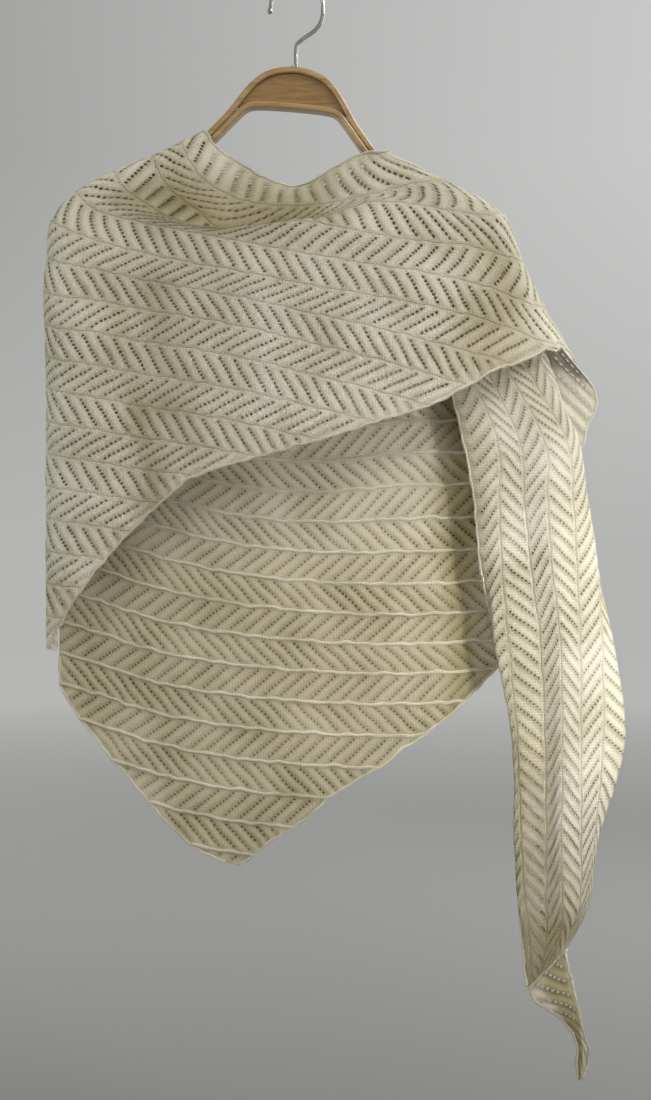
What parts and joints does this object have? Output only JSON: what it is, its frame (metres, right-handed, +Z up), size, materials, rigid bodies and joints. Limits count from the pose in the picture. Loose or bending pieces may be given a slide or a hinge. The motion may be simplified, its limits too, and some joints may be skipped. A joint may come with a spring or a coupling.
{
  "type": "knit shawl on hanger",
  "caption": "Lace-knit wool shawl with slanting eyelet columns, draped and wrapped over a bent-wood hanger, one end hanging long at the side.",
  "frame": {"origin": "inside top of the hook, where a rail carries it", "axes": "+Z up, +X to the right of a viewer who faces the shawl's front, +Y away from that viewer"},
  "size_m": [0.5372, 0.0755, 1.0169],
  "materials": {
    "knit": "soft ivory wool lace",
    "bent_wood": "clear lacquered bent wood",
    "panel_wood": "clear lacquered board, bare",
    "hook_metal": "bright plated wire"
  },
  "bodies": {
    "root": {"back_panel": "knit", "front_wrap": "knit", "neck_fold": "knit", "end_flap": "knit", "tail_front": "knit", "tail_rear": "knit", "tail_tip": "knit", "outer_strip": "bent_wood", "inner_strip": "bent_wood", "panel": "panel_wood", "hook": "hook_metal", "hook_collar": "hook_metal"}
  },
  "joints": []
}
